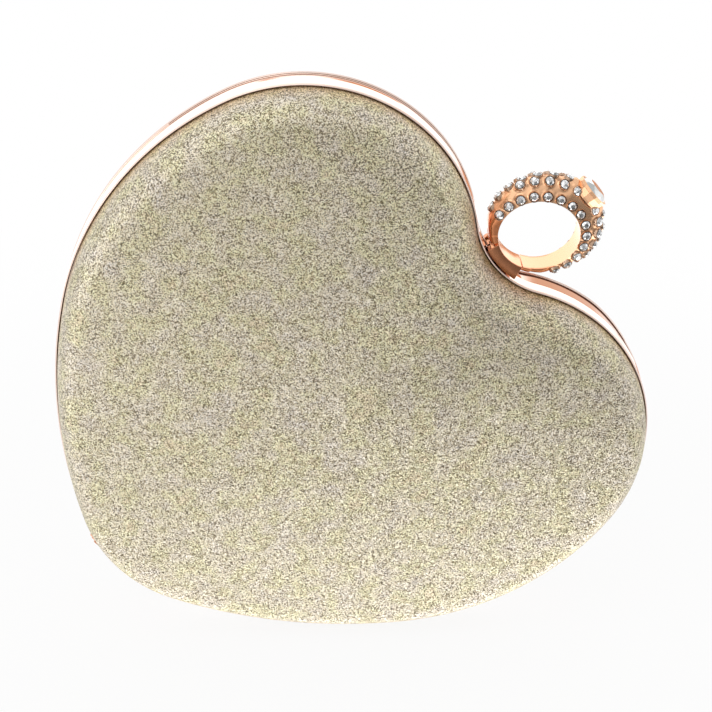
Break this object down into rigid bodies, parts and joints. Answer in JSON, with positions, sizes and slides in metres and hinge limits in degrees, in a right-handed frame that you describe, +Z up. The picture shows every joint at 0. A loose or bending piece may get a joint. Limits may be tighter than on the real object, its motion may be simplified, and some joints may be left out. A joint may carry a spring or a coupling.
{
  "type": "evening clutch",
  "caption": "Heart-shaped hard evening clutch with puffed glitter halves in a polished frame, a tip hinge and a stone-set finger ring as its clasp lever.",
  "frame": {"origin": "on the floor under the middle of the clutch as it stands on the flat of its lower side, on the parting plane of its two halves", "axes": "+Z up, -Y out of the front half, +X to the viewer's right, where the cleft and its ring are"},
  "size_m": [0.1614, 0.0426, 0.1625],
  "materials": {
    "rose_gold": "polished rose-gold plate",
    "champagne_glitter": "fine champagne and silver glitter",
    "shell_plastic": "moulded, unseen",
    "champagne_satin": "satin",
    "spring_steel": "bright",
    "clear_crystal": "cut and polished"
  },
  "bodies": {
    "rear_half": {"rear_frame": "rose_gold", "rear_glitter_cover": "champagne_glitter", "rear_shell": "shell_plastic", "rear_lining": "champagne_satin", "inner_pocket": "champagne_satin", "rear_hinge_leaf": "rose_gold", "hinge_pin": "rose_gold", "clasp_base": "rose_gold", "clasp_pivot_pin": "spring_steel", "clasp_spring": "spring_steel"},
    "front_half": {"front_frame": "rose_gold", "front_glitter_cover": "champagne_glitter", "front_shell": "shell_plastic", "front_lining": "champagne_satin", "front_hinge_leaf": "rose_gold", "front_catch_plate": "rose_gold"},
    "clasp_lever": {"clasp_saddle": "rose_gold", "finger_ring": "rose_gold", "left_crown_stones": "clear_crystal", "right_crown_stones": "clear_crystal", "crystal_seat": "rose_gold", "centre_crystal": "clear_crystal", "front_stone_01": "clear_crystal", "front_stone_02": "clear_crystal", "front_stone_03": "clear_crystal", "front_stone_04": "clear_crystal", "front_stone_05": "clear_crystal", "front_stone_06": "clear_crystal", "front_stone_07": "clear_crystal", "front_stone_08": "clear_crystal", "front_stone_09": "clear_crystal", "front_stone_10": "clear_crystal", "front_stone_11": "clear_crystal", "front_stone_12": "clear_crystal", "front_stone_13": "clear_crystal", "front_stone_14": "clear_crystal", "rear_stone_01": "clear_crystal", "rear_stone_02": "clear_crystal", "rear_stone_03": "clear_crystal", "rear_stone_04": "clear_crystal", "rear_stone_05": "clear_crystal", "rear_stone_06": "clear_crystal", "rear_stone_07": "clear_crystal", "rear_stone_08": "clear_crystal", "rear_stone_09": "clear_crystal", "rear_stone_10": "clear_crystal", "rear_stone_11": "clear_crystal", "rear_stone_12": "clear_crystal", "rear_stone_13": "clear_crystal", "rear_stone_14": "clear_crystal"}
  },
  "joints": [
    {"name": "case_hinge", "type": "hinge", "parent": "rear_half", "child": "front_half", "pos_m": [-0.06882, 0, 0.02022], "axis": [0.6528, 0, -0.7576], "range_deg": [0, 95]},
    {"name": "clasp_pivot", "type": "hinge", "parent": "rear_half", "child": "clasp_lever", "pos_m": [0.03808, 0.00583, 0.11233], "axis": [-0.6528, 0, 0.7576], "range_deg": [0, 25], "stiffness_Nm_per_rad": 0.02, "springref_deg": -20.05}
  ]
}
